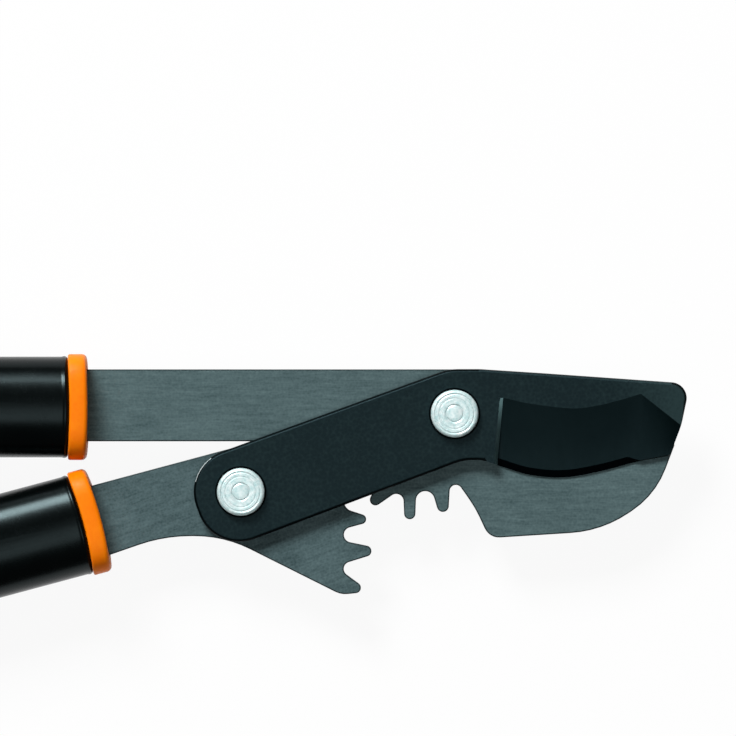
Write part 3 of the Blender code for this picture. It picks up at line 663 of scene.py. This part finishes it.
def makeBlade():
    back = mainPivot.z + blade["back"] * mm
    front = back + blade["thickness"] * mm
    piece = extrudePlate("ground_blade", bladeOutline(), back, front)
    piece.data.materials.append(blackCoat)
    bevelRims(piece, blade["backRim"], back, within=awayFromEdge(grind["rampStart"]))
    combine(piece, makeGrindCutter(), material="TRANSFER")
    bevelRims(piece, blade["rim"], front, within=awayFromEdge(blade["rimEnd"]), segments=4)
    for pivot in (mainPivot, leverPivot):
        drillHole(piece, pivot, blade["boltHole"])
        sinkSeat(piece, pivot, front)
    smoothSides(piece)
    with editing(piece, "EDGE"):
        selectWhere(piece, "edges", lambda edge: len({face.material_index for face in edge.link_faces}) > 1)
        bpy.ops.mesh.mark_sharp()
    evenNormals(piece)
    paintRimShade(piece, rimCoat, blade["paintedTilt"], skip=onSpine)
    paintGlintOnLinkEnd(piece)
    settle(piece, "blade", "black_coated_steel", blackCoat, "cutting_blade")


def sinkSeat(piece, pivot, front):
    # a shallow recess round a bolt's head, its faces painted near black as shade
    middle = front - blade["seatDepth"] * mm + cutterHeight / 2
    bpy.ops.object.select_all(action="DESELECT")
    bpy.ops.mesh.primitive_cylinder_add(
        vertices=96, radius=blade["seat"] * mm, depth=cutterHeight, location=(*pivot.xy, middle)
    )
    cutter = startPiece("seat_cutter")
    cutter.data.materials.append(rimCoat)
    combine(piece, cutter, material="TRANSFER")


def slotFor(piece, finish):
    if finish.name not in piece.data.materials:
        piece.data.materials.append(finish)
    return piece.data.materials.find(finish.name)


def paintRimShade(piece, finish, flattest, skip=None):
    # painted shade: walls and rims that still have the piece's own finish get a darker one
    slot = slotFor(piece, finish)
    for face in piece.data.polygons:
        if face.material_index == 0 and abs(face.normal.z) < flattest and not (skip and skip(face)):
            face.material_index = slot


def onSpine(face):
    # the middle of the spine's rim keeps the face's coating, without painted shade
    x, y = ((face.center - mainPivot) / mm).xy
    first, last = blade["spineKept"]
    return first < x < last and y > 0 and face.normal.z > blade["spineTilt"]


def paintGlintOnLinkEnd(piece):
    # painted highlight: bright steel colour on the rim round part of the link's end, where the light glints
    slot = slotFor(piece, wornSteel)
    low, high = blade["glintArc"]
    least, most = blade["glintTilt"]
    for face in piece.data.polygons:
        away = face.center - leverPivot
        turn = math.degrees(math.atan2(away.y, away.x))
        onRim = away.xy.length > blade["seat"] * mm and least < face.normal.z < most
        if onRim and low < turn < high:
            face.material_index = slot


def awayFromEdge(limit):
    # says whether a place is short of this x, or well above the end of the grind
    def test(place):
        x, y = ((place - mainPivot) / mm).xy
        return x < limit or y > grind["diagonalEnd"][1] + blade["rimAbove"]
    return test


makeBlade()
print("blade made")


# Grey plates: the hook plate and the lever plate keep their packed outlines, with finer rims that carry
# painted shade

plates = {
    "half": 2.5,
    "rim": 0.45,
    "paintedTilt": 0.98,
}


def dressPlate(node, name, body, finish):
    piece = bpy.data.objects.new(name, frame["nodes"][node].data.copy())
    piece.data.name = name
    piece.data.materials.clear()
    bpy.context.scene.collection.objects.link(piece)
    pickOnly(piece)
    bpy.ops.mesh.customdata_custom_splitnormals_clear()
    with editing(piece):
        bpy.ops.mesh.select_all(action="SELECT")
        bpy.ops.mesh.remove_doubles(threshold=weld)
        bpy.ops.mesh.dissolve_limited(angle_limit=math.radians(1))
    for level in (-plates["half"], plates["half"]):
        bevelRims(piece, plates["rim"], mainPivot.z + level * mm)
    smoothSides(piece)
    evenNormals(piece)
    piece.data.materials.append(finish)
    paintRimShade(piece, rimSteel, plates["paintedTilt"])
    settle(piece, body, "grey_steel", finish, node)


dressPlate("hook_plate", "geared_hook_plate", "hook_lever", barSteel)
dressPlate("lever_plate", "geared_lever_plate", "blade_lever", leverSteel)
print("grey plates dressed")


# Pivot hardware: heights are above the middle of the grey plates

bolt = {
    "end": -11.5,
    "shank": 4.0,
    "headLow": 7.9,
    "headTop": 10.9,
    "rim": 8.4,
    "underRim": 0.15,  # chamfer under the head
    "roll": 1.1,  # rounded shoulder of the head
    # radius, half width and depth of each groove
    "rings": ((6.9, 0.45, 0.16), (5.4, 0.40, 0.10), (3.0, 0.45, 0.22)),
    "tipChamfer": (0.6, 0.4),  # across and along
    "threadRun": 1.6,  # the thread is drawn to this far from the end
    "threadDepth": 0.3,
    "threadPitch": 0.6,
}
rearWasher = {"hole": 4.3, "rim": 9.5, "low": -4.0, "high": -2.8, "round": 0.2}
nut = {
    "hole": 4.3,
    "low": -10.3,
    "high": -4.3,
    "collar": 5.6,
    "shoulder": -9.0,
    "flats": 6.5,
    "chamfer": 0.5,
    "holeChamfers": (0.2, 0.4),  # at the low end and at the high end
    "collarChamfer": 0.4,
    "blankOver": 0.1,  # the blank reaches this far past the prism's corners
    "prism": 40.0,
}


def boltProfile():
    shank, rim, top, roll = bolt["shank"], bolt["rim"], bolt["headTop"], bolt["roll"]
    end, low, under = bolt["end"], bolt["headLow"], bolt["underRim"]
    across, along = bolt["tipChamfer"]
    points = [(0, end), (shank - across, end)]
    level = end + along
    while level < end + bolt["threadRun"]:
        points += [(shank, level), (shank - bolt["threadDepth"], level + bolt["threadPitch"] / 2)]
        level += bolt["threadPitch"]
    points += [(shank, level), (shank, low), (rim - under, low), (rim, low + under)]
    for turn in spaced(0, math.pi / 2, steps=5):
        points.append((rim - roll * (1 - math.cos(turn)), top - roll + roll * math.sin(turn)))
    for ring, half, depth in bolt["rings"]:
        for share in spaced(-1, 1, steps=6):
            points.append((ring - half * share, top - depth * (1 + math.cos(math.pi * share)) / 2))
    return points + [(0, top)]


def makeNut(name, pivot):
    # a turned blank, cut to six flats by a prism
    hole, low, high, shoulder = nut["hole"], nut["low"], nut["high"], nut["shoulder"]
    rim, edge, flats, chamfer = nut["collar"], nut["collarChamfer"], nut["flats"], nut["chamfer"]
    lowEdge, highEdge = nut["holeChamfers"]
    corner = flats / math.cos(math.pi / 6)
    blank = corner + nut["blankOver"]
    profile = [
        (hole, low + lowEdge), (hole + lowEdge, low), (rim - edge, low), (rim, low + edge),
        (rim, shoulder), (flats, shoulder), (blank, shoulder + chamfer), (blank, high - chamfer),
        (flats, high), (hole + highEdge, high), (hole, high - highEdge),
    ]
    piece = spinProfile(name, profile, pivot, closed=True, sides=96)
    bpy.ops.object.select_all(action="DESELECT")
    bpy.ops.mesh.primitive_cylinder_add(
        vertices=6, radius=corner * mm, depth=nut["prism"] * mm, location=pivot
    )
    combine(piece, startPiece("prism"), operation="INTERSECT")
    smoothSides(piece)
    return piece


def makePivot(side, pivot):
    head = spinProfile(side + "_ringed_bolt", boltProfile(), pivot, sides=96)
    settle(head, "blade", "bright_steel", boltSteel, side + "_pivot_bolt")
    edge = rearWasher["round"]
    hole, rim, low, high = (rearWasher[size] for size in ("hole", "rim", "low", "high"))
    profile = [
        (hole, low + edge), (hole + edge, low), (rim - edge, low), (rim, low + edge),
        (rim, high - edge), (rim - edge, high), (hole + edge, high), (hole, high - edge),
    ]
    washer = spinProfile(side + "_plain_washer", profile, pivot, closed=True)
    settle(washer, "blade", "bright_steel", nutSteel, side + "_rear_washer")
    piece = makeNut(side + "_collared_nut", pivot)
    settle(piece, "blade", "bright_steel", nutSteel, side + "_lock_nut")
    for part, finish in (("_pivot_bush", bushBronze), ("_friction_washer", washerNylon)):
        keeper = frame["nodes"][side + part]
        keeper.data.materials.clear()
        keeper.data.materials.append(finish)


makePivot("main", mainPivot)
makePivot("lever", leverPivot)
print("pivots made")


# Handles: each piece is drawn along a straight handle, then laid along the real one

handle = {
    "bodies": {"upper": "hook_lever", "lower": "blade_lever"},
    "bend": {"upper": 5.0, "lower": -5.0},  # degrees, from the end of the straight part to the end
    "pins": (41.5, 57.0),
    "straight": 90.0,
    "taperEnd": 300.0,
    "length": 602.5,
    "frontHalf": (17.8, 15.0),
    "rearHalf": (13.5, 12.5),
    "tubeStart": 6.7,
    "tubeEnd": 593.2,
    "wall": 3.0,
    "lip": 1.0,
    "flare": 0.2,  # the tube widens by this much at the lip
    "flareStart": 0.3,  # behind the lip's rounding
    "flareRun": 1.2,
}
collar = {
    "length": 6.4,
    "half": (18.7, 15.9),
    "frontRound": 1.5,
    "backRound": 0.7,
    "fullness": 0.70,
    # the middle of collar and lip lies this far in front of their edges, and this far ahead of its place
    "bow": {"upper": 0.8, "lower": 1.4},
    "bowAhead": {"upper": 0.0, "lower": 1.8},
    "bowRun": (10.0, 40.0),  # the bow fades out between these
    "spigotHalf": (14.5, 8.0),
    "spigotEnd": 67.4,
    "spigotChamfer": 0.6,
    "slotHalf": (13.0, 2.8),
    "slotShift": {"upper": -0.6, "lower": 0.6},
}
pin = {"half": 15.4, "radius": 3.0, "chamfer": 0.4, "hole": 3.15}
grip = {
    "length": 150.0,
    "half": (16.8, 15.9),
    "swell": 1.2,
    "waves": 1.5,
    "grooves": 13,
    "grooveZone": (0.2, 0.87),  # shares of the length
    "grooveDepth": 0.7,
    "gap": 0.3,
    "round": 1.4,
}
trimRing = {"start": 436.9, "end": 442.9, "half": (16.8, 15.45), "round": 1.2}
cap = {
    "start": 593.5,
    "half": (19.2, 15.45),
    "plug": 22.0,
    "plugLess": 3.3,
    "plugRound": 1.0,
    "frontRound": 0.8,
    "round": 3.2,
    "dish": 0.8,
    "dishInsets": (1.5, 2.3),  # its upper and lower rim, in from the rounded edge
    "buttonInsets": (7.0, 8.0),  # the same for the button in its middle
    "buttonDrop": 0.2,  # the button's top lies this far below the end
}


def handleFrame(side):
    near, far = (sum(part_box(side + "_tang_pin_" + number), Vector()) / 2 for number in "12")
    along = (far - near).normalized()
    return near - along * handle["pins"][0] * mm, along


def bowShift(run, off, side):
    # how far the bow moves a place back along the handle
    full, gone = (size * mm for size in collar["bowRun"])
    share = min(max((gone - run) / (gone - full), 0), 1)
    edge = off / (collar["half"][0] * mm)
    return (collar["bow"][side] * edge * edge - collar["bowAhead"][side]) * mm * share


def layAlong(piece, side):
    front, along = handleFrame(side)
    across = Vector((-along.y, along.x, 0))
    straight = handle["straight"] * mm
    rate = math.radians(handle["bend"][side]) / (handle["length"] * mm - straight)
    for vert in piece.data.vertices:
        run, off, rise = vert.co
        run += bowShift(run, off, side)
        heading = rate * max(run - straight, 0)
        run, off = (
            min(run, straight) + math.sin(heading) / rate - off * math.sin(heading),
            (1 - math.cos(heading)) / rate + off * math.cos(heading),
        )
        vert.co = front + along * run + across * off + Vector((0, 0, rise))


def tubeHalves(run, more=0.0):
    share = (run - handle["straight"]) / (handle["taperEnd"] - handle["straight"])
    share = min(max(share, 0), 1)
    ease = share * share * (3 - 2 * share)
    return [a + (b - a) * ease + more for a, b in zip(handle["frontHalf"], handle["rearHalf"])]


def makeTube(side):
    start, end, lip, flare = (handle[size] for size in ("tubeStart", "tubeEnd", "lip", "flare"))
    runs = spaced(handle["straight"], handle["taperEnd"], steps=24)
    runs += spaced(handle["taperEnd"], end, steps=24)[1:]
    rim = [half + flare for half in handle["frontHalf"]]
    stations = roundedStations(start, handle["straight"], rim, lip, 0)[:rimSteps + 1]
    flareStart = start + lip + handle["flareStart"]
    for share in spaced(0, 1, steps=5):
        stations.append((flareStart + share * handle["flareRun"], *tubeHalves(0, flare * (1 - share) ** 2)))
    stations += [(run, *tubeHalves(run)) for run in runs]
    stations += [(run, *tubeHalves(run, -handle["wall"])) for run in [*runs[::-1], start]]
    piece = sweepSection(side + "_tube", stations, through=True)
    layAlong(piece, side)
    return piece


def makeCollar(side):
    end, edge = collar["spigotEnd"], collar["spigotChamfer"]
    wide, tall = collar["spigotHalf"]
    stations = roundedStations(0, collar["length"], collar["half"], collar["frontRound"], collar["backRound"])
    stations += [(collar["length"], wide, tall), (end - edge, wide, tall), (end, wide - edge, tall - edge)]
    piece = sweepSection(side + "_neck_collar", stations, fullness=collar["fullness"], cornerSteps=20)
    bpy.ops.object.select_all(action="DESELECT")
    bpy.ops.mesh.primitive_cube_add(size=2, location=(end / 2 * mm, collar["slotShift"][side] * mm, 0))
    slot = bpy.context.object
    slot.scale = Vector((end, *collar["slotHalf"])) * mm
    combine(piece, startPiece("tang_slot"))
    smoothSides(piece)
    layAlong(piece, side)
    return piece


def makeGrip(side):
    end, edge = handle["tubeEnd"], grip["round"]
    start = end - grip["length"]
    low, high = grip["grooveZone"]
    outer = []
    for run in spaced(start + edge, end - edge, steps=180):
        share = (run - start) / grip["length"]
        place = (share - low) / (high - low)
        groove = 0.0
        if 0 < place < 1:
            groove = grip["grooveDepth"] * max(0, -math.cos(2 * math.pi * grip["grooves"] * place)) ** 2
        swell = grip["swell"] * (1 - math.cos(2 * math.pi * grip["waves"] * share))
        outer.append((run, grip["half"][0] + swell - groove, grip["half"][1] - groove))
    first = roundedStations(start, end, outer[0][1:], edge, 0)[:rimSteps]
    last = roundedStations(start, end, outer[-1][1:], 0, edge)[-rimSteps:]
    bore = [(run, *tubeHalves(run, grip["gap"])) for run in spaced(end, start, steps=20)]
    piece = sweepSection(side + "_ribbed_grip", first + outer + last + bore, through=True)
    layAlong(piece, side)
    return piece


def makeTrimRing(side):
    start, end = trimRing["start"], trimRing["end"]
    stations = roundedStations(start, end, trimRing["half"], trimRing["round"], trimRing["round"])
    stations += [(run, *tubeHalves(run, grip["gap"])) for run in (end, start)]
    piece = sweepSection(side + "_trim_ring", stations, through=True)
    layAlong(piece, side)
    return piece


def makeCap(side):
    start, end = cap["start"], handle["length"]
    dishFloor, buttonTop = end - cap["dish"], end - cap["buttonDrop"]
    insets = cap["dishInsets"] + cap["buttonInsets"]
    plug = tubeHalves(start, -cap["plugLess"])
    stations = roundedStations(start - cap["plug"], start, plug, cap["plugRound"], 0)
    stations += roundedStations(start, end, cap["half"], cap["frontRound"], cap["round"])
    wide, tall = stations[-1][1:]
    for run, less in zip((end, dishFloor, dishFloor, buttonTop), insets):
        stations.append((run, wide - less, tall - less))
    piece = sweepSection(side + "_domed_cap", stations)
    layAlong(piece, side)
    return piece


def makePins(side, *drilled):
    front, along = handleFrame(side)
    half, radius, chamfer = pin["half"], pin["radius"], pin["chamfer"]
    profile = [(0, -half), (radius - chamfer, -half), (radius, chamfer - half)]
    profile += [(radius, half - chamfer), (radius - chamfer, half), (0, half)]
    for number, run in enumerate(handle["pins"], 1):
        place = front + along * run * mm
        for piece in drilled:
            drillHole(piece, place, pin["hole"])
        piece = spinProfile(f"{side}_cross_pin_{number}", profile, place)
        node = f"{side}_tang_pin_{number}"
        settle(piece, handle["bodies"][side], "bright_steel", nutSteel, node)


for side, body in handle["bodies"].items():
    tube = makeTube(side)
    neck = makeCollar(side)
    makePins(side, tube, neck)
    settle(tube, body, "black_plastic", handlePlastic, side + "_handle")
    settle(neck, body, "orange_plastic", orangePlastic, side + "_collar")
    settle(makeGrip(side), body, "black_rubber", gripRubber, side + "_grip")
    settle(makeTrimRing(side), body, "orange_plastic", orangePlastic, side + "_grip_ring")
    settle(makeCap(side), body, "black_plastic", handlePlastic, side + "_end_cap")
    print(side, "handle made")


# Floor, light and camera

studio = {
    "middle": (-30.55, 16.09),  # of the picture, from the main pivot
    "pictureWidth": 259.7,
    "focusHeight": 5.0,  # above the middle of the grey plates
    "lens": 600,
    "sensor": 36,
    "world": 0.07,
    "floorGrey": 0.9,
    "floorGlow": 0.93,  # share of plain white mixed into the floor, where a ray from the camera meets it
}
lamps = {  # azimuth from +X, elevation, distance in metres, width and height in metres, radiance
    "key": (116, 38, 4.0, 1.5, 1.4, 33.0),
    "front": (270, 80, 6.0, 4.0, 1.8, 2.1),
}


def makeFloor():
    bpy.ops.object.select_all(action="DESELECT")
    bpy.ops.mesh.primitive_plane_add(size=60)
    floor = startPiece("floor")
    paper = bpy.data.materials.new("paper")
    paper.use_nodes = True
    tree = paper.node_tree
    shader = tree.nodes["Principled BSDF"]
    grey = studio["floorGrey"]
    shader.inputs["Base Color"].default_value = (grey, grey, grey, 1)
    shader.inputs["Roughness"].default_value = 0.9
    shader.inputs["Specular IOR Level"].default_value = 0.0
    rays = addNode(tree, "LightPath").outputs
    plain = addNode(tree, "Math", {0: rays["Is Camera Ray"], 1: rays["Is Glossy Ray"]}, operation="MAXIMUM")
    plain = addNode(tree, "Math", {0: plain.outputs[0], 1: rays["Is Transmission Ray"]}, operation="MAXIMUM")
    share = addNode(tree, "Math", {0: plain.outputs[0], 1: studio["floorGlow"]}, operation="MULTIPLY")
    glow = addNode(tree, "Emission", {"Color": (1, 1, 1, 1), "Strength": 1.0})
    mix = addNode(tree, "MixShader", {0: share.outputs[0], 1: shader.outputs[0], 2: glow.outputs[0]})
    tree.links.new(mix.outputs[0], tree.nodes["Material Output"].inputs["Surface"])
    floor.data.materials.append(paper)


def addLamp(name, azimuth, elevation, distance, width, height, radiance):
    data = bpy.data.lights.new(name, "AREA")
    data.shape = "RECTANGLE"
    data.size = width
    data.size_y = height
    data.energy = radiance * math.pi * width * height
    turn, rise = math.radians(azimuth), math.radians(elevation)
    way = Vector((math.cos(turn) * math.cos(rise), math.sin(turn) * math.cos(rise), math.sin(rise)))
    lamp = bpy.data.objects.new(name, data)
    lamp.location = onHead(*studio["middle"]) + way * distance
    lamp.rotation_euler = way.to_track_quat("Z", "Y").to_euler()
    lamp.visible_camera = False
    bpy.context.scene.collection.objects.link(lamp)


def makeWorld():
    world = bpy.data.worlds.new("studio")
    world.use_nodes = True
    grey = studio["world"]
    world.node_tree.nodes["Background"].inputs["Color"].default_value = (grey, grey, grey, 1)
    bpy.context.scene.world = world
    bpy.context.scene.view_settings.view_transform = "Standard"


def addCamera():
    data = bpy.data.cameras.new("camera")
    data.lens = studio["lens"]
    data.sensor_width = studio["sensor"]
    data.clip_end = 100
    distance = studio["pictureWidth"] * mm * studio["lens"] / studio["sensor"]
    camera = bpy.data.objects.new("camera", data)
    camera.location = onHead(*studio["middle"], studio["focusHeight"]) + Vector((0, 0, distance))
    bpy.context.scene.collection.objects.link(camera)
    bpy.context.scene.camera = camera


makeFloor()
for name, values in lamps.items():
    addLamp(name, *values)
makeWorld()
addCamera()
print("studio made")
